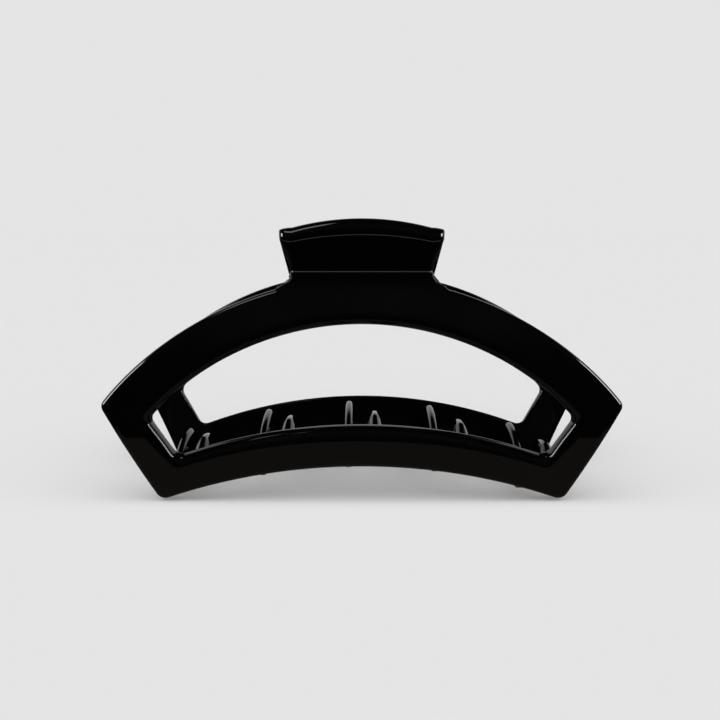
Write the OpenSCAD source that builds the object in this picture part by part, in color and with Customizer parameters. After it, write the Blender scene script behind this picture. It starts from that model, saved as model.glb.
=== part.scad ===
// A claw clip for hair. Two identical jaws, turned half a turn from each other, hinge on a steel pin,
// and a torsion spring on the pin holds them shut. Millimetres, +Z up, the front jaw at -Y.
// The clip stands closed on its four feet, and the origin is on that surface under its middle.

/* [Jaw frame, front view] */
// Half the width between the upper outer corners, before they are rounded
corner_x = 58.1; // [54:0.1:62]
// Height of those corners above the feet
corner_z = 23.8; // [21:0.1:25]
// Half the width between the feet
foot_x = 46.3; // [44:0.1:48]
// Height of the lower bar's lower edge at the middle
arch_z = 8.9; // [7:0.1:10]
// Height of the upper arch's top edge at the middle
crown_z = 52.5; // [50:0.1:54]
// Rounding of the four outer corners
corner_r = 2; // [1.5:0.1:3]

/* [Window, front view] */
// Half the window's width at its upper corners
win_top_x = 47.4; // [46:0.1:48]
// Height of those upper corners
win_top_z = 20.3; // [20:0.1:22]
// Half the window's width at its lower corners
win_low_x = 41.7; // [41:0.1:42]
// Height of those lower corners
win_low_z = 10.5; // [9.5:0.1:11]
// Height of the window's lower edge at the middle
sill_z = 18.5; // [17.5:0.1:19]
// Height of the window's upper edge at the middle
lintel_z = 42; // [40:0.1:43]
// Rounding of the window's corners
window_r = 2.2; // [1.8:0.1:3]

/* [Jaw section, side view] */
// Distance from the middle of the clip to the outer face where it bulges most
bulge_y = 22.2; // [21:0.1:24]
// Height of the widest bulge
bulge_z = 27; // [25:0.1:28]
// Radius of the outer face below the bulge
lower_r = 60; // [56:1:64]
// Radius of the outer face above the bulge
upper_r = 36; // [35:0.5:37]
// Wall thickness of the frame
wall = 4.5; // [4:0.1:5]

/* [Finger tab] */
// Half the width of the neck where the tab joins the frame
neck_x = 16.2; // [15.5:0.1:17]
// Half the width of the tab at its lip
lip_x = 18.5; // [17.5:0.1:19]
// Height of the crease where the tab bends out of the frame
crease_z = 53; // [52:0.1:54]
// Length of the tab from the crease to its top
tab_length = 11.4; // [11:0.1:13]
// Thickness of the tab
tab_t = 3.4; // [3:0.1:3.8]
// Outward lean of the tab, in degrees
tab_lean = 25; // [23:0.5:27]
// Height of the thick lip at the top of the tab
lip_h = 2.9; // [2.5:0.1:4]
// How far the lip stands out of the tab's outer face
lip_out = 1.0; // [0.6:0.1:1.2]
// How far the lip stands out of the tab's inner face
lip_in = 0.6; // [0.4:0.1:0.8]

/* [Teeth] */
// Teeth on each jaw
tooth_count = 5; // [5]
// Distance from tooth to tooth along the bar
tooth_pitch = 20.2; // [19.5:0.1:20.5]
// Offset of the middle tooth from the clip's middle
tooth_offset = 3.1; // [2.8:0.1:3.6]
// Width of a tooth at its lower edge
tooth_w = 4.4; // [3.8:0.1:4.6]
// Width of a tooth's upper ridge
ridge_w = 1.3; // [1:0.1:1.8]

/* [Hinge] */
// Height of the hinge axis
hinge_z = 49.6; // [49:0.1:50]
// Radius of the hinge pin
pin_r = 1.5; // [1.4:0.05:1.6]
// Radial running clearance between pin and knuckle
pin_gap = 0.05; // [0.03:0.01:0.08]
// Radius of the pin's two heads
head_r = 2.4; // [2.2:0.1:2.8]
// Thickness of a pin head
head_h = 1.0; // [0.8:0.1:1.2]
// Outer radius of a knuckle
knuckle_r = 4.2; // [4:0.1:4.4]
// Width of a knuckle along the pin
knuckle_w = 2.8; // [2.6:0.1:2.8]
// Distance from the clip's middle to the outer face of the outer knuckle
knuckle_outer = 14; // [13.8:0.1:14.2]
// Distance from the clip's middle to the outer face of the inner knuckle
knuckle_inner = 10.8; // [10.6:0.1:10.8]

/* [Torsion spring] */
// Diameter of the spring wire
wire_d = 1.2; // [1:0.1:1.3]
// Mean radius of the coil
coil_r = 3.4; // [3.2:0.1:3.5]
// Distance from turn to turn
coil_pitch = 1.5; // [1.4:0.05:1.6]
// Whole turns, besides the part turn between the two legs
coil_turns = 8; // [7:1:8]
// How far up the tab a leg reaches, measured from the crease
leg_reach = 5.4; // [4.5:0.1:5.6]

/* [Hidden] */
bar_stations = 20;
arch_stations = 28;
end_stations = 6;
corner_stations = 4;
neck_fillet_r = 3;
lip_sag = 2.4;
lip_low_sag = 1.8;
lip_corner_r = 1.2;
wire_sides = 10;
rings_per_turn = 20;
hump_mid_z = 19.5;
hump_end_z = 12.6;
hump_y = 8;
hump_rise = 2.2;
tooth_deep = 5.2;
tip_floor = 1.2;
tip_drop = 1.2;
tip_gap = 0.6;
root_sunk = 1.2;
tip_t = 1.8;
tip_w = 2.2;
web_low_z = 44;
head_gap = 0.1;
leg_gap = 0.04;
$fn = 120;
black = [0.02, 0.02, 0.02];
steel = [0.62, 0.63, 0.65];

// Radius of an arc with this half chord and rise.
function arc_radius(half, rise) = (half * half + rise * rise) / (2 * rise);
// Height at x of an arc that is mid high at the middle and end high at x = half.
function arc_height(x, half, end, mid) =
    let (r = arc_radius(half, mid - end)) mid - r + sqrt(r * r - x * x);
// Direction of that arc at its right-hand end, going up it.
function arc_end_way(half, end, mid) =
    let (r = arc_radius(half, mid - end)) [-sqrt(r * r - half * half), half] / r;
function unit(v) = v / norm(v);
function turned(angle) = angle > 180 ? angle - 360 : angle < -180 ? angle + 360 : angle;
function flipped(points) = [for (i = [len(points) - 1:-1:0]) [-points[i].x, points[i].y]];

// Centre of the circle that rounds the corner p, whose sides leave it along a and b.
function corner_centre(p, a, b, r) =
    let (half = acos(a * b) / 2) p + unit(a + b) * r / sin(half);
// Points round that corner, from the side along a to the side along b.
function rounded_corner(p, a, b, r) =
    let (half = acos(a * b) / 2,
         c = corner_centre(p, a, b, r),
         from = p + a * r / tan(half) - c,
         to = p + b * r / tan(half) - c,
         start = atan2(from.y, from.x),
         sweep = turned(atan2(to.y, to.x) - start))
    [for (i = [0:corner_stations])
        c + r * [cos(start + sweep * i / corner_stations), sin(start + sweep * i / corner_stations)]];

// A closed fan-shaped loop in the front view: arched bar below, straight ends, arch above.
function fan_loop(low_x, low_z, low_mid, top_x, top_z, top_mid, r) =
    let (low = [low_x, low_z],
         top = [top_x, top_z],
         up = unit(top - low),
         foot = rounded_corner(low, arc_end_way(low_x, low_z, low_mid), up, r),
         shoulder = rounded_corner(top, -up, arc_end_way(top_x, top_z, top_mid), r),
         end = [for (i = [1:end_stations - 1])
             foot[corner_stations] + (shoulder[0] - foot[corner_stations]) * i / end_stations],
         right = concat(foot, end, shoulder),
         bar = [for (i = [1:bar_stations - 1])
             let (x = low_x * (2 * i / bar_stations - 1)) [x, arc_height(x, low_x, low_z, low_mid)]],
         arch = [for (i = [1:arch_stations - 1])
             let (x = top_x * (1 - 2 * i / arch_stations)) [x, arc_height(x, top_x, top_z, top_mid)]])
    concat(bar, right, arch, flipped(right));

outer_loop = fan_loop(foot_x, 0, arch_z, corner_x, corner_z, crown_z, corner_r);
window_loop = fan_loop(win_low_x, win_low_z, sill_z, win_top_x, win_top_z, lintel_z, window_r);
foot_way = unit([corner_x - foot_x, corner_z]);
foot_centre = corner_centre([foot_x, 0], arc_end_way(foot_x, 0, arch_z), foot_way, corner_r);
// The rounded foot ends this far above the sharp corner, so the jaw is lowered by as much.
foot_lift = foot_centre.y - corner_r;

// Centre of the outer face's section at height z, as [y, z], and its radius.
function section_r(z) = z < bulge_z ? lower_r : upper_r;
function section_centre(z) = [section_r(z) - bulge_y, bulge_z];
// The point of the front jaw seen at x, z in the front view, sunk into the wall by this depth.
function skin(x, z, depth = 0) =
    let (c = section_centre(z),
         r = section_r(z),
         face = [c.x - sqrt(r * r - (z - c.y) * (z - c.y)), z],
         p = face + depth * (c - face) / r)
    [x, p.x, p.y];

// The tab's own directions in the side view: up the tab, and through it towards the hinge.
tab_up = [-sin(tab_lean), cos(tab_lean)];
tab_through = [cos(tab_lean), sin(tab_lean)];
crease = [skin(0, crease_z).y, crease_z];
function on_tab(up, through) = crease + up * tab_up + through * tab_through;
// Where the tab's inner face, followed down, meets the frame's inner face.
elbow_from = on_tab(0, tab_t) - section_centre(crease_z);
elbow_along = elbow_from * tab_up;
elbow_drop = elbow_along - sqrt(pow(elbow_along, 2) - elbow_from * elbow_from + pow(upper_r - wall, 2));
function in_wall(z, depth) = let (p = skin(0, z, depth)) [p.y, p.z];

// A side view drawn in Y and Z, made solid from x = -half to x = half.
module side_solid(points, half) {
    rotate([90, 0, 90]) linear_extrude(2 * half, center = true) polygon(points);
}
// A front view drawn in X and Z, made solid through the whole depth of one jaw and beyond.
module front_solid(points) {
    rotate([90, 0, 0]) linear_extrude(80, center = true) polygon(points);
}

// One stretch of the C-shaped wall, as wide as the clip: the part of its ring inside a side view.
module wall_stretch(r, side_view) {
    rotate([90, 0, 90]) linear_extrude(2 * corner_x + 2, center = true) intersection() {
        difference() {
            translate([r - bulge_y, bulge_z]) circle(r);
            translate([r - bulge_y, bulge_z]) circle(r - wall);
        }
        polygon(side_view);
    }
}

// The outline of the frame under the tab, with a fillet on each side where the neck leaves the arch.
neck_z = arc_height(neck_x + neck_fillet_r, corner_x, corner_z, crown_z) + neck_fillet_r;
neck_half = concat(
    [[neck_x + neck_fillet_r, crown_z - 6], [neck_x + neck_fillet_r, neck_z - neck_fillet_r - 0.4]],
    [for (a = [255:-15:180]) [neck_x + neck_fillet_r, neck_z] + neck_fillet_r * [cos(a), sin(a)]],
    [[neck_x, crease_z + 1]]);

// The arched frame round the window.
module frame() {
    elbow = on_tab(-elbow_drop, tab_t);
    beyond = elbow + 2 * (elbow - crease);
    difference() {
        intersection() {
            union() {
                wall_stretch(lower_r,
                    [[-bulge_y - 1, -1], [-1, -1], [-1, bulge_z], [-bulge_y - 1, bulge_z]]);
                wall_stretch(upper_r, [[-bulge_y - 1, bulge_z], [-1, bulge_z], beyond, crease,
                    [-bulge_y - 1, crease_z]]);
            }
            union() {
                front_solid(outer_loop);
                front_solid(concat(neck_half, flipped(neck_half)));
            }
        }
        front_solid(window_loop);
    }
}

// Height of the tab's top edge in the front view.
tab_top = on_tab(tab_length, tab_t + lip_in).y;
lip_z = tab_top - lip_sag - lip_h;
function tab_half() = concat(
    [[neck_x, crown_z - 6], [neck_x, crease_z], [lip_x, lip_z]],
    [[lip_x, tab_top - lip_sag - lip_corner_r]],
    [for (x = [lip_x - lip_corner_r:-2:1]) [x, arc_height(x, lip_x, tab_top - lip_sag, tab_top)]]);
function lip_half() = concat(
    [for (x = [1:2:lip_x - 1]) [x, arc_height(x, lip_x, lip_z, lip_z + lip_low_sag)]],
    [[lip_x, lip_z], [lip_x, tab_top - lip_sag - lip_corner_r]],
    [for (x = [lip_x - lip_corner_r:-2:1]) [x, arc_height(x, lip_x, tab_top - lip_sag, tab_top)]]);

module finger_tab() {
    intersection() {
        side_solid([on_tab(0, 0), on_tab(tab_length, 0), on_tab(tab_length, tab_t),
            on_tab(-elbow_drop, tab_t), in_wall(crown_z - 3, wall - 0.3), in_wall(crown_z - 3, 0.6)],
            lip_x + 2);
        front_solid(concat(tab_half(), flipped(tab_half())));
    }
    intersection() {
        side_solid([on_tab(tab_length - lip_h - 3, -lip_out), on_tab(tab_length, -lip_out),
            on_tab(tab_length, tab_t + lip_in), on_tab(tab_length - lip_h - 3, tab_t + lip_in)], lip_x + 2);
        front_solid(concat(lip_half(), flipped(lip_half())));
    }
}

// Height of a tooth's top at x, above its own bar.
function hump_top(x) = arc_height(x, win_low_x, hump_end_z, hump_mid_z);
// Height of a tooth's tip at x, just under the other jaw's bar.
function tip_low(x) = max(tip_floor, arc_height(x, foot_x, 0, arch_z) - tip_drop);
// Distance from the middle to the wall's inner face at height z, below the bulge.
function inner_y(z) = sqrt(pow(lower_r - wall, 2) - pow(z - bulge_z, 2)) - (lower_r - bulge_y);

// One tooth of the front jaw: it leaves the bar's inner face, humps and hooks down behind the other bar.
module tooth(x) {
    top = hump_top(x);
    low = tip_low(x);
    root = inner_y(top - hump_rise) + root_sunk;
    reach = inner_y(low) - tip_gap;
    span = reach + hump_y;
    upper = concat([[-root, top - hump_rise]],
        [for (a = [0:9:81]) [-hump_y + span * sin(a), low + tip_t + (top - low - tip_t) * cos(a)]]);
    lower = [for (a = [81:-9:9])
        [-hump_y + (span - tip_t) * sin(a), low + (top - low - tooth_deep) * cos(a)]];
    half = tooth_w / 2;
    ridge = ridge_w / 2;
    intersection() {
        side_solid(concat(upper, [[reach, low + tip_t], [reach - 0.2, low + 0.4], [reach - 0.8, low]],
            lower, [[-root, top - tooth_deep]]), corner_x);
        translate([x, 0, 0]) front_solid([[-half + 0.8, low - 1], [half - 0.8, low - 1],
            [half, low + 1.5], [half, top - 3.2], [ridge, top + 0.1], [-ridge, top + 0.1],
            [-half, top - 3.2], [-half, low + 1.5]]);
        translate([x, 0, -1]) linear_extrude(crown_z) polygon([[-half, -root - 1], [half, -root - 1],
            [half, 0], [tip_w / 2, reach + 0.1], [-tip_w / 2, reach + 0.1], [-half, 0]]);
    }
}

module teeth() {
    for (i = [0:tooth_count - 1]) tooth(tooth_offset + (i - (tooth_count - 1) / 2) * tooth_pitch);
}

// A knuckle of the front jaw, from x = from to x = from + knuckle_w, with the web that carries it.
module knuckle(from) {
    translate([from, 0, 0]) rotate([90, 0, 90]) linear_extrude(knuckle_w) union() {
        translate([0, hinge_z]) circle(knuckle_r);
        polygon([[-0.6, hinge_z + knuckle_r * 0.985], on_tab(1.5, tab_t), on_tab(1.5, 1.5),
            in_wall(crown_z - 3, 1.5), in_wall(web_low_z, 2.2), in_wall(web_low_z, wall),
            [-1.2, hinge_z - knuckle_r * 0.95]]);
    }
}

module bore() {
    translate([0, 0, hinge_z]) rotate([0, 90, 0])
        cylinder(h = 4 * knuckle_outer, r = pin_r + pin_gap, center = true);
}

module jaw() {
    difference() {
        union() {
            frame();
            finger_tab();
            teeth();
            knuckle(knuckle_inner - knuckle_w);
            knuckle(-knuckle_outer);
        }
        bore();
    }
}

module front_jaw() {
    color(black) translate([0, 0, -foot_lift]) jaw();
}

module rear_jaw() {
    color(black) translate([0, 0, -foot_lift]) rotate([0, 0, 180]) jaw();
}

module hinge_pin() {
    color(steel) translate([0, 0, hinge_z - foot_lift]) rotate([0, 90, 0]) {
        cylinder(h = 2 * (knuckle_outer + head_gap + head_h), r = pin_r, center = true);
        for (s = [-1, 1]) translate([0, 0, s * (knuckle_outer + head_gap + head_h / 2)])
            cylinder(h = head_h, r = head_r, center = true);
    }
}

// The spring wire's path: up the front tab, round the pin and up the rear tab.
leg_end = on_tab(leg_reach, tab_t + wire_d / 2 + leg_gap) - [0, hinge_z];
leg_turn = atan2(leg_end.y, leg_end.x) + acos(coil_r / norm(leg_end));
wind = 360 * coil_turns + 540 - 2 * leg_turn;
coil_l = coil_pitch * wind / 360;
coil_steps = ceil(wind / 360 * rings_per_turn);

// The centre of the wire, its two cross directions, for each ring from the front leg's end to the rear's.
function coil_ring(s) =
    let (a = leg_turn + wind * s, x = coil_l * (s - 0.5))
    [[x, coil_r * cos(a), coil_r * sin(a)], [0, cos(a), sin(a)]];
first = coil_ring(0);
last = coil_ring(1);
rings = concat([[[first[0].x, leg_end.x, leg_end.y], first[1]]],
    [for (i = [0:coil_steps]) coil_ring(i / coil_steps)],
    [[[last[0].x, -leg_end.x, leg_end.y], last[1]]]);

module torsion_spring() {
    n = wire_sides;
    count = len(rings);
    points = [for (ring = rings) for (k = [0:n - 1])
        ring[0] + wire_d / 2 * (ring[1] * cos(360 * k / n) + [sin(360 * k / n), 0, 0])];
    sides = [for (i = [0:count - 2]) for (k = [0:n - 1])
        let (m = (k + 1) % n)
        each [[i * n + k, i * n + m, (i + 1) * n + m], [i * n + k, (i + 1) * n + m, (i + 1) * n + k]]];
    ends = [[for (k = [n - 1:-1:0]) k], [for (k = [0:n - 1]) (count - 1) * n + k]];
    color(steel) translate([0, 0, hinge_z - foot_lift])
        polyhedron(points, concat(sides, ends), convexity = 10);
}

front_jaw();
rear_jaw();
hinge_pin();
torsion_spring();
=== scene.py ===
"""Claw clip for hair: two glossy black jaws, a steel hinge pin and a torsion spring."""

import math

import bmesh
import bpy
import numpy as np
from mathutils import Matrix, Vector


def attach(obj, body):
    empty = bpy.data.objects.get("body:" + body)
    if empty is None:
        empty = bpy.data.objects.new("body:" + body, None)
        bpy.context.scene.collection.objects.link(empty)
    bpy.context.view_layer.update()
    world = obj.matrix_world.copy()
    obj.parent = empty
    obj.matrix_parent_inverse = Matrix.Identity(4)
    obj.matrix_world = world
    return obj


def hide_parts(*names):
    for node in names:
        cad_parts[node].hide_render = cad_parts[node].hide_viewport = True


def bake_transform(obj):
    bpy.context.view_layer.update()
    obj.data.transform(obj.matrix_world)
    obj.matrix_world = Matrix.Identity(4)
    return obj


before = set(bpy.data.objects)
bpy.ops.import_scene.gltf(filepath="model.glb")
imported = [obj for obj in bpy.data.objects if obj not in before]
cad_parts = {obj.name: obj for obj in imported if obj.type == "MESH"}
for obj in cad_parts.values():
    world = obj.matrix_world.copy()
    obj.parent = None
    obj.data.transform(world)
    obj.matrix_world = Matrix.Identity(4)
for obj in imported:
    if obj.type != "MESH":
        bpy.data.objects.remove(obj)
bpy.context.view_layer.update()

MM = 0.001

# ---------------------------------------------------------------- dimensions, in millimetres
# Frame, front view: half widths and heights of its sharp corners and of its arcs' middles.
FOOT_X, CORNER_X, CORNER_Z, ARCH_Z, CROWN_Z = 46.3, 58.1, 23.8, 8.9, 52.5
WIN_LOW_X, WIN_LOW_Z, WIN_TOP_X, WIN_TOP_Z = 41.7, 10.5, 47.4, 20.3
SILL_Z, LINTEL_Z, LINTEL_BACK_Z = 18.5, 42.2, 43.1
CORNER_R, WINDOW_R = 2.0, 2.2
# Section of the frame, side view.
BULGE_Y, BULGE_Z, LOWER_R, UPPER_R, WALL = 22.2, 27.0, 60.0, 36.0, 4.5
# Finger tab.
NECK_X, LIP_X, NECK_R, CREASE_Z = 16.2, 18.45, 3.8, 53.0
TAB_L, TAB_T, TAB_LEAN = 12.05, 3.4, math.radians(25)
LIP_H, LIP_OUT, LIP_IN, LIP_SAG, LIP_LOW_SAG = 3.5, 1.0, 0.6, 2.4, 1.8
# Teeth.
TOOTH_COUNT, TOOTH_PITCH, TOOTH_OFFSET = 5, 20.2, 3.1
TOOTH_W, RIDGE_W, TIP_W, TIP_T, TOOTH_DEEP = 4.4, 1.5, 2.2, 1.8, 5.2
HUMP_MID_Z, HUMP_END_Z, HUMP_Y, HUMP_RISE, ROOT_SUNK = 19.5, 12.6, 8.0, 2.2, 1.2
TIP_FLOOR, TIP_DROP, TIP_GAP = 1.2, 1.2, 0.6
# How far the rounded ridge falls from the hump to the bar; the solid's sharp one falls by HUMP_RISE.
RIDGE_RISE = 4.0
# Hinge and spring.
HINGE_Z, PIN_R, PIN_GAP, HEAD_R, HEAD_H, HEAD_GAP = 49.6, 1.5, 0.05, 2.4, 1.0, 0.1
KNUCKLE_R, KNUCKLE_W, KNUCKLE_OUTER, KNUCKLE_INNER = 4.2, 2.8, 14.0, 10.8
WEB_LOW_Z = 44.0
WEB_SUNK = 1.5
HEAD_CHAMFER, DOME_R, DOME_H = 0.15, 0.9, 0.75
WIRE_R, COIL_R, COIL_PITCH, COIL_TURNS, LEG_REACH, LEG_GAP = 0.6, 3.4, 1.5, 8, 5.4, 0.04
# Points round a pin, a wire and a tooth, and rings along one turn of the coil and along a leg.
PIN_SIDES, WIRE_SIDES, TOOTH_SIDES, TURN_RINGS, LEG_RINGS = 48, 20, 28, 48, 12
# Edge roundings of the mouldings.
EDGE_R, WINDOW_EDGE_R, BACK_R, LIP_R = 1.8, 2.5, 1.1, 2.3
# The same for the tab's sides: on its face, on its lip and on its inner side.
TAB_EDGE_R, LIP_END_R, TAB_BACK_R = 1.2, 2.9, 1.0
KNUCKLE_EDGE_R, TIP_ROUND = 0.45, 0.45
# How far the lip stands out of the tab's sides.
LIP_SIDE = 0.12
# How far the tab's lower end is sunk in the frame's faces, so that no two faces coincide, and its height.
SINK, TAB_LOW_Z = 0.03, 47.5


# ---------------------------------------------------------------- curves
def arc_radius(half, rise):
    return (half * half + rise * rise) / (2 * rise)


def arc_height(x, half, end, mid):
    r = arc_radius(half, mid - end)
    return mid - r + np.sqrt(r * r - x * x)


def arc_end_way(half, end, mid):
    r = arc_radius(half, mid - end)
    return np.array([-math.sqrt(r * r - half * half), half]) / r


def unit(v):
    return v / np.linalg.norm(v)


def corner_centre(p, a, b, r):
    half = math.acos(float(a @ b)) / 2
    return p + unit(a + b) * r / math.sin(half)


def rounded_corner(p, a, b, r, steps):
    half = math.acos(float(a @ b)) / 2
    c = corner_centre(p, a, b, r)
    start, stop = p + a * r / math.tan(half) - c, p + b * r / math.tan(half) - c
    a0 = math.atan2(start[1], start[0])
    sweep = (math.atan2(stop[1], stop[0]) - a0 + math.pi) % (2 * math.pi) - math.pi
    t = a0 + sweep * np.arange(steps + 1) / steps
    return c + r * np.stack([np.cos(t), np.sin(t)], 1)


def fan_loop(low_x, low_z, low_mid, top_x, top_z, top_mid, r, bar=90, arch=150, end=16, corner=10):
    """The closed loop of a fan-shaped outline in the front view, anticlockwise from the bar's left."""
    low, top = np.array([low_x, low_z]), np.array([top_x, top_z])
    up = unit(top - low)
    foot = rounded_corner(low, arc_end_way(low_x, low_z, low_mid), up, r, corner)
    shoulder = rounded_corner(top, -up, arc_end_way(top_x, top_z, top_mid), r, corner)
    t = np.arange(1, end)[:, None] / end
    side = foot[-1] + (shoulder[0] - foot[-1]) * t
    right = np.concatenate([foot, side, shoulder])
    x0 = foot[0, 0]
    x = x0 * (2 * np.arange(1, bar) / bar - 1)
    bottom = np.stack([x, arc_height(x, low_x, low_z, low_mid)], 1)
    x1 = shoulder[-1, 0]
    x = x1 * (1 - 2 * np.arange(1, arch) / arch)
    crown = np.stack([x, arc_height(x, top_x, top_z, top_mid)], 1)
    left = right[::-1] * [-1, 1]
    return np.concatenate([bottom, right, crown, left])


foot_way = unit(np.array([CORNER_X - FOOT_X, CORNER_Z]))
foot_c = corner_centre(np.array([FOOT_X, 0.0]), arc_end_way(FOOT_X, 0, ARCH_Z), foot_way, CORNER_R)
LIFT = foot_c[1] - CORNER_R


def skin(x, z, depth):
    """The point of the front jaw at x, z in the front view, sunk into the wall by depth."""
    x, z, depth = np.broadcast_arrays(np.asarray(x, float), z, depth)
    r = np.where(z < BULGE_Z, LOWER_R, UPPER_R)
    cy = r - BULGE_Y
    fy = cy - np.sqrt(r * r - (z - BULGE_Z) ** 2)
    return np.stack([x, fy + depth * (cy - fy) / r, z + depth * (BULGE_Z - z) / r], -1)


CREASE = skin(0, CREASE_Z, 0)[1:]
TAB_UP = np.array([-math.sin(TAB_LEAN), math.cos(TAB_LEAN)])
TAB_THROUGH = np.array([math.cos(TAB_LEAN), math.sin(TAB_LEAN)])


def on_tab(up, through):
    return CREASE + np.multiply.outer(up, TAB_UP) + np.multiply.outer(through, TAB_THROUGH)


def in_wall(z, depth):
    return skin(0, z, depth)[..., 1:]


# ---------------------------------------------------------------- mesh helpers
def mesh_object(name, points, faces):
    """An object from points in millimetres, lowered so that the feet stand at z = 0."""
    mesh = bpy.data.meshes.new(name)
    p = (np.asarray(points, float) - [0, 0, LIFT]) * MM
    mesh.from_pydata(p.tolist(), [], faces)
    mesh.validate()
    obj = bpy.data.objects.new(name, mesh)
    bpy.context.scene.collection.objects.link(obj)
    bm = bmesh.new()
    bm.from_mesh(mesh)
    bmesh.ops.recalc_face_normals(bm, faces=bm.faces)
    bm.to_mesh(mesh)
    bm.free()
    return obj


def loop_faces(rows, cols, close_rows, close_cols):
    """Quads of a grid of points stored row by row."""
    faces = []
    for i in range(rows if close_rows else rows - 1):
        for k in range(cols if close_cols else cols - 1):
            j, m = (i + 1) % rows, (k + 1) % cols
            faces.append((i * cols + k, j * cols + k, j * cols + m, i * cols + m))
    return faces


def loft(name, sections):
    """A closed solid through a list of loops with the same number of points, capped at both ends."""
    s = np.asarray(sections, float)
    rows, cols = s.shape[:2]
    faces = loop_faces(rows, cols, False, True)
    faces.append(tuple(range(cols)))
    faces.append(tuple((rows - 1) * cols + k for k in reversed(range(cols))))
    return mesh_object(name, s.reshape(-1, 3), faces)


def boolean(obj, other, operation):
    mod = obj.modifiers.new("b", "BOOLEAN")
    mod.operation, mod.object, mod.solver = operation, other, "EXACT"
    apply_modifiers(obj)
    bpy.data.objects.remove(other)


def apply_modifiers(obj):
    deps = bpy.context.evaluated_depsgraph_get()
    deps.update()
    mesh = bpy.data.meshes.new_from_object(obj.evaluated_get(deps))
    obj.modifiers.clear()
    obj.data = mesh


def join(name, objs):
    bm = bmesh.new()
    for o in objs:
        bm.from_mesh(o.data)
        bpy.data.objects.remove(o)
    mesh = bpy.data.meshes.new(name)
    bm.to_mesh(mesh)
    bm.free()
    obj = bpy.data.objects.new(name, mesh)
    bpy.context.scene.collection.objects.link(obj)
    return obj


def smooth(obj, sharp_angle):
    """Smooth faces with sharp edges above an angle, and normals weighted by face area."""
    bm = bmesh.new()
    bm.from_mesh(obj.data)
    for f in bm.faces:
        f.smooth = True
    for edge in bm.edges:
        edge.smooth = len(edge.link_faces) == 2 and edge.calc_face_angle(0) < sharp_angle
    bm.to_mesh(obj.data)
    bm.free()
    mod = obj.modifiers.new("normals", "WEIGHTED_NORMAL")
    mod.weight, mod.keep_sharp = 100, True


def rounded_section(width, height, r_out, r_in, r_back, across=14, corner=8, side=3):
    """Loop of (across, depth) round a section: its face, the window side, the back and the outer side.
    The face is rounded by r_out at the outer side and by r_in at the window, the back by r_back."""
    w = np.asarray(width, float)
    q = np.linspace(0, math.pi / 2, corner + 1)[1:-1]
    pts = []
    for t in np.linspace(0, 1, across + 1):
        pts.append((r_out + (w - r_out - r_in) * t, 0))
    for a in q:
        pts.append((w - r_in + r_in * math.sin(a), r_in - r_in * math.cos(a)))
    for t in np.linspace(0, 1, side + 1):
        pts.append((w, r_in + (height - r_in - r_back) * t))
    for a in q:
        pts.append((w - r_back + r_back * math.cos(a), height - r_back + r_back * math.sin(a)))
    for t in np.linspace(0, 1, across + 1):
        pts.append((w - r_back - (w - 2 * r_back) * t, height))
    for a in q:
        pts.append((r_back - r_back * math.sin(a), height - r_back + r_back * math.cos(a)))
    for t in np.linspace(0, 1, side + 1):
        pts.append((0, height - r_back - (height - r_out - r_back) * t))
    for a in q:
        pts.append((r_out - r_out * math.cos(a), r_out - r_out * math.sin(a)))
    return np.array([np.broadcast_arrays(w, a, b)[1:] for a, b in pts])


# ---------------------------------------------------------------- the jaw, drawn once as the front one
def make_frame():
    outer = fan_loop(FOOT_X, 0, ARCH_Z, CORNER_X, CORNER_Z, CROWN_Z, CORNER_R)
    window = fan_loop(WIN_LOW_X, WIN_LOW_Z, SILL_Z, WIN_TOP_X, WIN_TOP_Z, LINTEL_Z, WINDOW_R)
    back = fan_loop(WIN_LOW_X, WIN_LOW_Z, SILL_Z, WIN_TOP_X, WIN_TOP_Z, LINTEL_BACK_Z, WINDOW_R)
    gap = window - outer
    width = np.linalg.norm(gap, axis=1)
    section = rounded_section(width, WALL, EDGE_R, WINDOW_EDGE_R, BACK_R)
    across, depth = section[:, 0, :], section[:, 1, :]
    # The window's wall leans: its edge on the inner face is the back loop.
    share = np.clip(across / width, 0, 1)[..., None]
    p = outer[None] + gap[None] * share + (back - window)[None] * share * depth[..., None] / WALL
    points = skin(p[..., 0], p[..., 1], depth).transpose(1, 0, 2)
    rows, cols = points.shape[:2]
    return mesh_object("frame", points.reshape(-1, 3), loop_faces(rows, cols, True, True))


CROWN_R = arc_radius(CORNER_X, CROWN_Z - CORNER_Z)
NECK_Z = CROWN_Z - CROWN_R + math.sqrt((CROWN_R + NECK_R) ** 2 - (NECK_X + NECK_R) ** 2)
TAB_TOP = float(on_tab(TAB_L, TAB_T + LIP_IN)[1])
LIP_Z = TAB_TOP - LIP_SAG - LIP_H


def half_width(z):
    """Half the width of the tab at height z of its outer face, in the front view."""
    z = np.asarray(z, float)
    flare = NECK_X + (LIP_X - NECK_X) * np.clip((z - CREASE_Z) / (LIP_Z - CREASE_Z), 0, 1)
    low = np.clip(NECK_Z - z, 0, NECK_R)
    return flare + NECK_R - np.sqrt(NECK_R**2 - low**2)


# Rows of faces of the tab, counted along its section, that are the crease and the lip's lower edge.
CREASE_ROWS, LIP_ROWS = [9, 10], [27, 28]


def bezier(a, c, b, n):
    t = np.linspace(0, 1, n)[:, None]
    return (1 - t) ** 2 * a + 2 * t * (1 - t) * c + t * t * b


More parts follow.
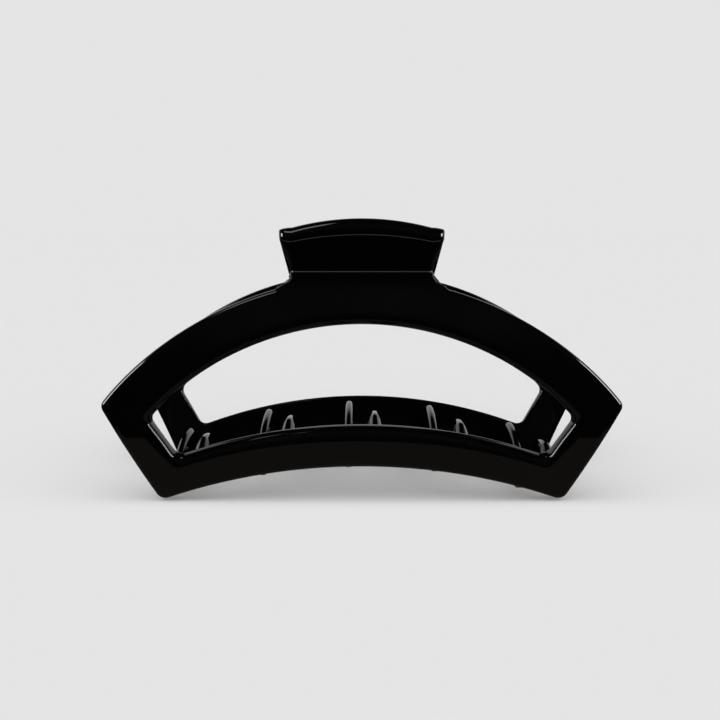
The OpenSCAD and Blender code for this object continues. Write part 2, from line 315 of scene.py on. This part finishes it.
def tab_section(x, d):
    """The tab's section at x, sunk by d: up the outer face, over the lip and down inside.
    A row is y, z, the height of the point's place on the outer face, and how far it stands out sideways."""
    sag = TAB_TOP - float(arc_height(x, LIP_X, TAB_TOP - LIP_SAG, TAB_TOP))
    low_sag = LIP_LOW_SAG - (float(arc_height(x, LIP_X, LIP_Z, LIP_Z + LIP_LOW_SAG)) - LIP_Z)
    rise = math.cos(TAB_LEAN)
    top = TAB_L - sag / rise - 0.65 * d
    lip = (LIP_Z + LIP_LOW_SAG - CREASE_Z - low_sag) / rise + 0.05 * d
    tall = top - lip
    sunk_back = d * TAB_BACK_R / TAB_EDGE_R
    front, back = -LIP_OUT + d * LIP_END_R / TAB_EDGE_R, TAB_T + LIP_IN - sunk_back
    face, inside = d, TAB_T - sunk_back
    r = min(LIP_R, (back - front) / 2)
    round_h = 0.7 * tall
    q = np.linspace(0, math.pi / 2, 11)
    s = np.linspace(0, 1, 6)
    step = s * s * (3 - 2 * s)
    wall_in = unit(in_wall(CREASE_Z, 1.0) - CREASE)
    corner = CREASE + d * (wall_in + TAB_THROUGH) / (1 + float(wall_in @ TAB_THROUGH))
    pts, heights, sides = [], [], []

    def add(points, height, side):
        pts.append(points)
        heights.append(height)
        sides.append(side + 0 * height)

    def along_tab(up, through, side=0.0):
        add(on_tab(up, through + 0 * up), np.maximum(CREASE_Z + rise * up, CREASE_Z), side)

    low = np.linspace(TAB_LOW_Z, CREASE_Z - 0.6, 7)
    add(in_wall(low, SINK + d), low, 0.0)
    fillet = bezier(in_wall(CREASE_Z - 0.42, SINK + d), corner, on_tab(0.42, face), 8)
    add(fillet, fillet[:, 1], 0.0)
    along_tab(np.linspace(0.8, lip - 0.3, 8), face)
    along_tab(lip - 0.12 + 0.24 * s, face + (front - face) * step, LIP_SIDE * step)
    along_tab(np.linspace(lip + 0.36, top - round_h, 4)[:-1], front, LIP_SIDE)
    along_tab(top - round_h + round_h * np.sin(q), front + r - r * np.cos(q), LIP_SIDE)
    along_tab(top - round_h + round_h * np.cos(q[1:]), back - r + r * np.sin(q[1:]), LIP_SIDE)
    along_tab(np.linspace(top - round_h, lip + 0.15 * tall, 4)[1:-1], back, LIP_SIDE)
    along_tab(lip + 0.15 * tall - 0.9 * s, back + (inside - back) * step, LIP_SIDE * (1 - step))
    along_tab(np.linspace(lip - 1.1, 0.3 - elbow_drop(), 12), inside)
    low = np.linspace(CREASE_Z + 1.2, TAB_LOW_Z, 7)
    add(in_wall(low, WALL - SINK - sunk_back), low, 0.0)
    return np.column_stack([np.concatenate(pts), np.concatenate(heights), np.concatenate(sides)])


def elbow_drop():
    """How far below the crease the tab's inner face meets the frame's inner face."""
    c = in_wall(CREASE_Z, UPPER_R)
    start = on_tab(0.0, TAB_T) - c
    along = float(start @ TAB_UP)
    return along - math.sqrt(along**2 - float(start @ start) + (UPPER_R - WALL) ** 2)


def inset(loop, d):
    """A closed 2D loop moved inwards by d."""
    if d == 0:
        return loop
    ahead, behind = np.roll(loop, -1, 0), np.roll(loop, 1, 0)
    t = ahead - behind
    n = np.stack([-t[:, 1], t[:, 0]], 1) / np.linalg.norm(t, axis=1)[:, None]
    area = np.sum(loop[:, 0] * ahead[:, 1] - ahead[:, 0] * loop[:, 1])
    return loop + n * d * np.sign(area)


def make_tab():
    steps = np.linspace(-1, 1, 41)
    q = np.linspace(0, math.pi / 2, 8)
    # A column is where it stands across the tab, how far out it is in a side's rounding, and how deep.
    columns = [(-1.0, math.cos(a), TAB_EDGE_R * (1 - math.sin(a))) for a in q]
    columns += [(t, 0.0, 0.0) for t in steps[1:-1]]
    columns += [(1.0, math.cos(a), TAB_EDGE_R * (1 - math.sin(a))) for a in q[::-1]]
    sections = []
    for t, out_by, d in columns:
        side = tab_section(t * (LIP_X - TAB_EDGE_R), d)
        w = half_width(side[:, 2]) + side[:, 3]
        edge = TAB_EDGE_R + (LIP_END_R - TAB_EDGE_R) * side[:, 3] / LIP_SIDE
        x = t * (w - edge + edge * out_by)
        sections.append(np.column_stack([x, side[:, :2]]))
    tab = loft("tab", sections)
    # The crease and the lip's lower edge get a painted highlight: the second material, a grey, on their
    # rows of faces.
    points = len(sections[0])
    for line in CREASE_ROWS + LIP_ROWS:
        for i in range(len(q) // 2, len(sections) - len(q) // 2 - 1):
            tab.data.polygons[i * points + line].material_index = 1
    return tab


def inner_y(z):
    """Distance from the middle to the wall's inner face at height z, below the bulge."""
    return math.sqrt((LOWER_R - WALL) ** 2 - (z - BULGE_Z) ** 2) - (LOWER_R - BULGE_Y)


def tooth_curves(x, n):
    """The top and bottom edges of a tooth at x, as (y, z) points from its root to its tip."""
    top = float(arc_height(x, WIN_LOW_X if abs(x) < WIN_LOW_X else abs(x), HUMP_END_Z, HUMP_MID_Z))
    low = max(TIP_FLOOR, float(arc_height(x, FOOT_X, 0, ARCH_Z)) - TIP_DROP)
    root = inner_y(top - HUMP_RISE) + ROOT_SUNK
    reach = inner_y(low) - TIP_GAP
    span = reach + HUMP_Y
    m = n // 3
    s = np.linspace(0, 1, m, endpoint=False)
    y1 = -root + (root - HUMP_Y) * s
    up1 = top - RIDGE_RISE * (1 - s) ** 1.2
    dn1 = top - TOOTH_DEEP - 1.2 * (1 - s)
    a = np.linspace(0, math.pi / 2, n - m)
    y2 = -HUMP_Y + span * np.sin(a)
    up2 = low + TIP_T * 0.9 + (top - low - TIP_T * 0.9) * np.cos(a)
    y3 = -HUMP_Y + (span - TIP_T) * np.sin(a)
    dn2 = low + (top - low - TOOTH_DEEP) * np.cos(a)
    upper = np.concatenate([np.stack([y1, up1], 1), np.stack([y2, up2], 1)])
    lower = np.concatenate([np.stack([y1, dn1], 1), np.stack([y3, dn2], 1)])
    return upper, lower, root


def make_tooth(x):
    n = 42
    upper, lower, root = tooth_curves(x, n)
    q = np.linspace(0, 2 * math.pi, TOOTH_SIDES, endpoint=False)
    sections = []
    for i in range(n):
        up, dn = upper[i], lower[i]
        y = (up[0] + dn[0]) / 2
        share = np.clip((y + root) / (root + 14.0), 0, 1)
        half = TOOTH_W / 2 + (TIP_W - TOOTH_W) / 2 * share**1.6
        half += 0.9 * np.exp(-((y + root - 1.2) / 1.1))
        v = (1 - np.cos(q)) / 2
        narrow = 1 - (1 - RIDGE_W / TOOTH_W) * np.clip((v - 0.35) / 0.65, 0, 1) ** 1.3 * (1 - 0.5 * share)
        wide = np.sign(np.sin(q)) * np.abs(np.sin(q)) ** 0.55
        height = (up - dn)[None] * v[:, None] + dn
        sections.append(np.column_stack([x + half * wide * narrow, height]))
    # A rounded tip: the last sections shrink towards their middle.
    last = sections[-1]
    middle = last.mean(0)
    way = unit(np.array([0, upper[-1][0] - upper[-3][0], upper[-1][1] - upper[-3][1]]))
    for a in np.linspace(0, math.pi / 2, 6)[1:-1]:
        sections.append(middle + (last - middle) * math.cos(a) + way * TIP_ROUND * math.sin(a))
    return loft("tooth", sections)


def make_knuckle(start):
    """A knuckle disc and its web, with rounded edges, from x = start."""
    c = np.array([0.0, HINGE_Z])
    web = [on_tab(WEB_SUNK, TAB_T - 0.4), on_tab(WEB_SUNK, WEB_SUNK), in_wall(CROWN_Z - 3, WEB_SUNK),
           in_wall(WEB_LOW_Z, 2.2), in_wall(WEB_LOW_Z, WALL)]
    a = np.radians(np.linspace(-106, 98, 40))
    ring = c + KNUCKLE_R * np.stack([np.cos(a), np.sin(a)], 1)
    loop = np.concatenate([ring, np.array(web)])
    r = KNUCKLE_EDGE_R
    q = np.linspace(0, math.pi / 2, 5)
    slices = []
    for t in q:
        slices.append((start + r * (1 - math.cos(t)), r * (1 - math.sin(t))))
    for t in q[::-1]:
        slices.append((start + KNUCKLE_W - r * (1 - math.cos(t)), r * (1 - math.sin(t))))
    return loft("knuckle", [np.column_stack([np.full(len(loop), x), inset(loop, d)]) for x, d in slices])


def make_bore():
    r = PIN_R + PIN_GAP
    q = np.linspace(0, 2 * math.pi, PIN_SIDES, endpoint=False)
    ring = np.stack([np.zeros(PIN_SIDES), r * np.cos(q), HINGE_Z + r * np.sin(q)], 1)
    beyond = KNUCKLE_OUTER + 6
    return loft("bore", [ring + [x, 0, 0] for x in (-beyond, beyond)])


def make_jaw(moulding, painted_highlight_mat):
    jaw, tab = make_frame(), make_tab()
    # The second material is the painted highlight of the crease and the lip's lower edge.
    for obj in (jaw, tab):
        obj.data.materials.append(moulding)
        obj.data.materials.append(painted_highlight_mat)
    boolean(jaw, tab, "UNION")
    middle = (TOOTH_COUNT - 1) / 2
    teeth = [make_tooth(TOOTH_OFFSET + (i - middle) * TOOTH_PITCH) for i in range(TOOTH_COUNT)]
    boolean(jaw, join("teeth", teeth), "UNION")
    knuckles = [make_knuckle(KNUCKLE_INNER - KNUCKLE_W), make_knuckle(-KNUCKLE_OUTER)]
    boolean(jaw, join("knuckles", knuckles), "UNION")
    boolean(jaw, make_bore(), "DIFFERENCE")
    smooth(jaw, math.radians(38))
    return jaw


# ---------------------------------------------------------------- pin and spring
def make_pin():
    """The hinge pin with its two domed heads, turned round +X."""
    inner = KNUCKLE_OUTER + HEAD_GAP
    dome = [(inner, PIN_R), (inner, HEAD_R - HEAD_CHAMFER), (inner + HEAD_CHAMFER, HEAD_R)]
    for a in np.linspace(0.15, math.pi / 2, 10):
        dome.append((inner + HEAD_H - DOME_H * (1 - math.sin(a)), HEAD_R - DOME_R * (1 - math.cos(a))))
    dome.append((inner + HEAD_H, DOME_R))
    half = [(0.0, PIN_R)] + dome
    line = [(-x, r) for x, r in reversed(half[1:])] + half
    q = np.linspace(0, 2 * math.pi, PIN_SIDES, endpoint=False)
    rings = [np.stack([np.full(PIN_SIDES, x), r * np.cos(q), HINGE_Z + r * np.sin(q)], 1) for x, r in line]
    obj = loft("hinge_pin_body", rings)
    smooth(obj, math.radians(35))
    return obj


def make_spring():
    """The torsion spring: a leg up each tab and a close coil round the pin."""
    hinge = np.array([0.0, HINGE_Z])
    leg = on_tab(LEG_REACH, TAB_T + WIRE_R + LEG_GAP) - hinge
    turn = math.atan2(leg[1], leg[0]) + math.acos(COIL_R / np.linalg.norm(leg))
    wind = 2 * math.pi * COIL_TURNS + 3 * math.pi - 2 * turn
    length = COIL_PITCH * wind / (2 * math.pi)
    steps = int(wind / (2 * math.pi) * TURN_RINGS)
    s = np.linspace(0, 1, steps + 1)
    a = turn + wind * s
    coil = np.stack([length * (s - 0.5), COIL_R * np.cos(a), COIL_R * np.sin(a)], 1)
    out = np.stack([np.zeros(steps + 1), np.cos(a), np.sin(a)], 1)
    head = np.array([coil[0, 0], leg[0], leg[1]])
    tail = np.array([coil[-1, 0], -leg[0], leg[1]])
    t = np.linspace(0, 1, LEG_RINGS, endpoint=False)[:, None]
    path = np.concatenate([head + (coil[0] - head) * t, coil, (tail + (coil[-1] - tail) * t)[::-1]])
    normal = np.concatenate([np.repeat(out[:1], LEG_RINGS, 0), out, np.repeat(out[-1:], LEG_RINGS, 0)])
    q = np.linspace(0, 2 * math.pi, WIRE_SIDES, endpoint=False)
    rings = []
    for i in range(len(path)):
        across = np.cross(path[min(i + 1, len(path) - 1)] - path[max(i - 1, 0)], normal[i])
        across /= np.linalg.norm(across)
        ring = path[i] + WIRE_R * (np.outer(np.cos(q), normal[i]) + np.outer(np.sin(q), across))
        rings.append(ring + [0, 0, HINGE_Z])
    obj = loft("spring_wire", rings)
    smooth(obj, math.radians(50))
    return obj, length


# ---------------------------------------------------------------- materials
def nodes_of(name):
    mat = bpy.data.materials.new(name)
    mat.use_nodes = True
    tree = mat.node_tree
    return mat, tree, tree.nodes["Principled BSDF"]


def plastic(name, dark, light, low_gloss, high_gloss):
    """Polished moulding: a slightly uneven colour and gloss, and a very faint orange peel."""
    mat, tree, bsdf = nodes_of(name)
    bsdf.inputs["IOR"].default_value = 1.49
    bsdf.inputs["Specular IOR Level"].default_value = 0.5
    where = tree.nodes.new("ShaderNodeTexCoord")
    cloud = tree.nodes.new("ShaderNodeTexNoise")
    cloud.inputs["Scale"].default_value = 70
    cloud.inputs["Detail"].default_value = 3
    tree.links.new(where.outputs["Object"], cloud.inputs["Vector"])
    gloss = tree.nodes.new("ShaderNodeMapRange")
    gloss.inputs["To Min"].default_value = low_gloss
    gloss.inputs["To Max"].default_value = high_gloss
    tree.links.new(cloud.outputs["Fac"], gloss.inputs["Value"])
    tree.links.new(gloss.outputs["Result"], bsdf.inputs["Roughness"])
    tint = tree.nodes.new("ShaderNodeMix")
    tint.data_type = "RGBA"
    tint.inputs["A"].default_value = (*dark, 1)
    tint.inputs["B"].default_value = (*light, 1)
    tree.links.new(cloud.outputs["Fac"], tint.inputs["Factor"])
    tree.links.new(tint.outputs["Result"], bsdf.inputs["Base Color"])
    peel = tree.nodes.new("ShaderNodeTexNoise")
    peel.inputs["Scale"].default_value = 900
    peel.inputs["Detail"].default_value = 2
    tree.links.new(where.outputs["Object"], peel.inputs["Vector"])
    bump = tree.nodes.new("ShaderNodeBump")
    bump.inputs["Strength"].default_value = 0.03
    bump.inputs["Distance"].default_value = 0.00002
    tree.links.new(peel.outputs["Fac"], bump.inputs["Height"])
    tree.links.new(bump.outputs["Normal"], bsdf.inputs["Normal"])
    return mat


def steel(name, base, rough):
    """Drawn steel: metallic, with fine streaks along +X."""
    mat, tree, bsdf = nodes_of(name)
    bsdf.inputs["Metallic"].default_value = 1.0
    where = tree.nodes.new("ShaderNodeTexCoord")
    stretch = tree.nodes.new("ShaderNodeMapping")
    stretch.inputs["Scale"].default_value = (200, 4000, 4000)
    tree.links.new(where.outputs["Object"], stretch.inputs["Vector"])
    streak = tree.nodes.new("ShaderNodeTexNoise")
    streak.inputs["Scale"].default_value = 1
    streak.inputs["Detail"].default_value = 3
    tree.links.new(stretch.outputs["Vector"], streak.inputs["Vector"])
    gloss = tree.nodes.new("ShaderNodeMapRange")
    gloss.inputs["To Min"].default_value = rough * 0.7
    gloss.inputs["To Max"].default_value = rough * 1.5
    tree.links.new(streak.outputs["Fac"], gloss.inputs["Value"])
    tree.links.new(gloss.outputs["Result"], bsdf.inputs["Roughness"])
    tint = tree.nodes.new("ShaderNodeMix")
    tint.data_type = "RGBA"
    tint.inputs["A"].default_value = (*[c * 0.8 for c in base], 1)
    tint.inputs["B"].default_value = (*base, 1)
    tree.links.new(streak.outputs["Fac"], tint.inputs["Factor"])
    tree.links.new(tint.outputs["Result"], bsdf.inputs["Base Color"])
    return mat


# ---------------------------------------------------------------- build
black = plastic("black_moulding", (0.0003, 0.0003, 0.0003), (0.0008, 0.0007, 0.0006), 0.05, 0.10)
# Painted highlight: a dull grey material that stands in for the thin highlight lines along the crease and
# the lip's lower edge.
painted_highlight_grey = plastic("painted_highlight_line", (0.020, 0.018, 0.018), (0.026, 0.024, 0.023), 0.40, 0.55)
jaw_front = make_jaw(black, painted_highlight_grey)
jaw_front.name = "jaw_front"
jaw_rear = jaw_front.copy()
jaw_rear.data = jaw_front.data.copy()
jaw_rear.name = "jaw_rear"
bpy.context.scene.collection.objects.link(jaw_rear)
jaw_rear.data.transform(Matrix.Rotation(math.pi, 4, "Z"))
pin = make_pin()
pin.data.materials.append(steel("pin_steel", (0.62, 0.63, 0.65), 0.22))
spring, coil_length = make_spring()
spring.data.materials.append(steel("spring_steel", (0.50, 0.51, 0.53), 0.26))

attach(jaw_front, "front")
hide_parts("front_jaw")
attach(jaw_rear, "rear")
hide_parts("rear_jaw")
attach(pin, "front")
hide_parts("hinge_pin")
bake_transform(spring)
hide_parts("torsion_spring")

# ---------------------------------------------------------------- stage, light and camera
PALE = 0.78
FLOOR_GLOW = 0.2
# Strength that lights level paper as much as a white sky of strength 1 would.
OVERHEAD = 2.806
floor_mesh = bpy.data.meshes.new("floor")
floor_mesh.from_pydata([(-6, -6, 0), (6, -6, 0), (6, 6, 0), (-6, 6, 0)], [], [(0, 1, 2, 3)])
floor = bpy.data.objects.new("floor", floor_mesh)
bpy.context.scene.collection.objects.link(floor)
floor_mat, _, floor_bsdf = nodes_of("pale_floor")
floor_bsdf.inputs["Base Color"].default_value = (*[PALE - FLOOR_GLOW] * 3, 1)
floor_bsdf.inputs["Emission Color"].default_value = (1, 1, 1, 1)
floor_bsdf.inputs["Emission Strength"].default_value = FLOOR_GLOW
floor_bsdf.inputs["Roughness"].default_value = 1.0
floor_bsdf.inputs["Specular IOR Level"].default_value = 0.0
floor_mesh.materials.append(floor_mat)
floor.visible_glossy = False

# The lit part of the table close in front of the clip, seen only in its gloss.
glow_mesh = bpy.data.meshes.new("table_glow")
glow_corners = [(-0.075, -0.046), (0.075, -0.046), (0.075, -0.005), (-0.075, -0.005)]
glow_mesh.from_pydata([(x, y, 0.0001) for x, y in glow_corners], [], [(0, 1, 2, 3)])
glow = bpy.data.objects.new("table_glow", glow_mesh)
bpy.context.scene.collection.objects.link(glow)
glow_mat, _, glow_bsdf = nodes_of("table_glow")
glow_bsdf.inputs["Base Color"].default_value = (0, 0, 0, 1)
glow_bsdf.inputs["Specular IOR Level"].default_value = 0.0
glow_bsdf.inputs["Emission Color"].default_value = (0.115, 0.098, 0.088, 1)
glow_bsdf.inputs["Emission Strength"].default_value = 1.0
glow_mesh.materials.append(glow_mat)
glow.visible_camera = False
glow.visible_diffuse = False
glow.visible_shadow = False

world = bpy.data.worlds.new("studio")
bpy.context.scene.world = world
world.use_nodes = True
wt = world.node_tree
wt.nodes.clear()


def ramp(source, stops):
    """A grey ramp over a direction's component from -1 to 1; stops are (component, value)."""
    ramped = wt.nodes.new("ShaderNodeMapRange")
    ramped.inputs["From Min"].default_value = -1
    wt.links.new(source, ramped.inputs["Value"])
    node = wt.nodes.new("ShaderNodeValToRGB")
    elements = node.color_ramp.elements
    while len(elements) < len(stops):
        elements.new(0.5)
    for element, (at, value) in zip(elements, stops):
        element.position = (at + 1) / 2
        element.color = (value, value, value, 1)
    wt.links.new(ramped.outputs["Result"], node.inputs["Fac"])
    return node.outputs["Color"]


def mixed(factor, a, b):
    node = wt.nodes.new("ShaderNodeMix")
    node.data_type = "RGBA"
    wt.links.new(factor, node.inputs["Factor"])
    for socket, value in ((node.inputs["A"], a), (node.inputs["B"], b)):
        if isinstance(value, tuple):
            socket.default_value = (*value, 1)
        else:
            wt.links.new(value, socket)
    return node.outputs["Result"]


def background(colour, strength=1.0):
    node = wt.nodes.new("ShaderNodeBackground")
    node.inputs["Strength"].default_value = strength
    if isinstance(colour, tuple):
        node.inputs["Color"].default_value = (*colour, 1)
    else:
        wt.links.new(colour, node.inputs["Color"])
    return node.outputs[0]


def switched(ray, off, on):
    node = wt.nodes.new("ShaderNodeMixShader")
    wt.links.new(path.outputs[ray], node.inputs[0])
    wt.links.new(off, node.inputs[1])
    wt.links.new(on, node.inputs[2])
    return node.outputs[0]


# What the gloss sees: a dark room in front, and the pale backdrop behind.
out = wt.nodes.new("ShaderNodeOutputWorld")
path = wt.nodes.new("ShaderNodeLightPath")
direction = wt.nodes.new("ShaderNodeTexCoord")
split = wt.nodes.new("ShaderNodeSeparateXYZ")
wt.links.new(direction.outputs["Generated"], split.inputs[0])
behind = ramp(split.outputs["Y"], [(0.30, 0), (0.55, 1)])
room = (0.008, 0.007, 0.008)
paper = ramp(split.outputs["Z"], [(-0.15, 0.08), (0.0, 0.65), (0.45, 0.65), (0.62, 0.008)])
seen_by_gloss = background(mixed(behind, room, paper))
# The paper is lit from above and in front, so that the shadow stays close under the clip.
from_front = ramp(split.outputs["Y"], [(-0.35, 1), (0.15, 0)])
from_above = ramp(split.outputs["Z"], [(0.2, 0), (0.6, 1)])
overhead = background(mixed(from_front, (0, 0, 0), from_above), OVERHEAD)
lit = switched("Is Glossy Ray", overhead, seen_by_gloss)
wt.links.new(switched("Is Camera Ray", lit, background((PALE, PALE, PALE))), out.inputs[0])


def softbox(name, azimuth, elevation, width, height, radiance):
    """A softbox seen only in the clip's gloss. Angles are in degrees; azimuth 0 is at -Y, 90 at +X."""
    reach = 0.6
    a, e = math.radians(azimuth), math.radians(elevation)
    middle = Vector((0, 0, 0.03))
    way = Vector((math.sin(a) * math.cos(e), -math.cos(a) * math.cos(e), math.sin(e)))
    light = bpy.data.lights.new(name, "AREA")
    light.shape = "RECTANGLE"
    light.size, light.size_y = reach * math.radians(width), reach * math.radians(height)
    light.energy = radiance * math.pi * light.size * light.size_y
    obj = bpy.data.objects.new(name, light)
    bpy.context.scene.collection.objects.link(obj)
    obj.location = middle + way * reach
    obj.rotation_euler = (-way).to_track_quat("-Z", "Y").to_euler()
    obj.visible_diffuse = False
    return obj


softbox("left_low", -90, 22, 13, 33, 12)
softbox("right_low", 90, 22, 13, 33, 12)
softbox("left_high", -110, 70, 14, 16, 2)

# How far the camera looks down, in degrees, and its lens and sensor in millimetres.
CAMERA_DOWN, LENS, SENSOR = 8.16, 47.56, 36.0
camera_data = bpy.data.cameras.new("camera")
camera_data.lens, camera_data.sensor_width = LENS, SENSOR
camera_data.clip_start = 0.01
camera = bpy.data.objects.new("camera", camera_data)
bpy.context.scene.collection.objects.link(camera)
camera.location = (-0.0004, -0.2278, 0.0637 - LIFT * MM)
camera.rotation_euler = (math.radians(90 - CAMERA_DOWN), 0, 0)
bpy.context.scene.camera = camera
bpy.context.scene.view_settings.view_transform = "Standard"
bpy.context.scene.view_settings.look = "None"
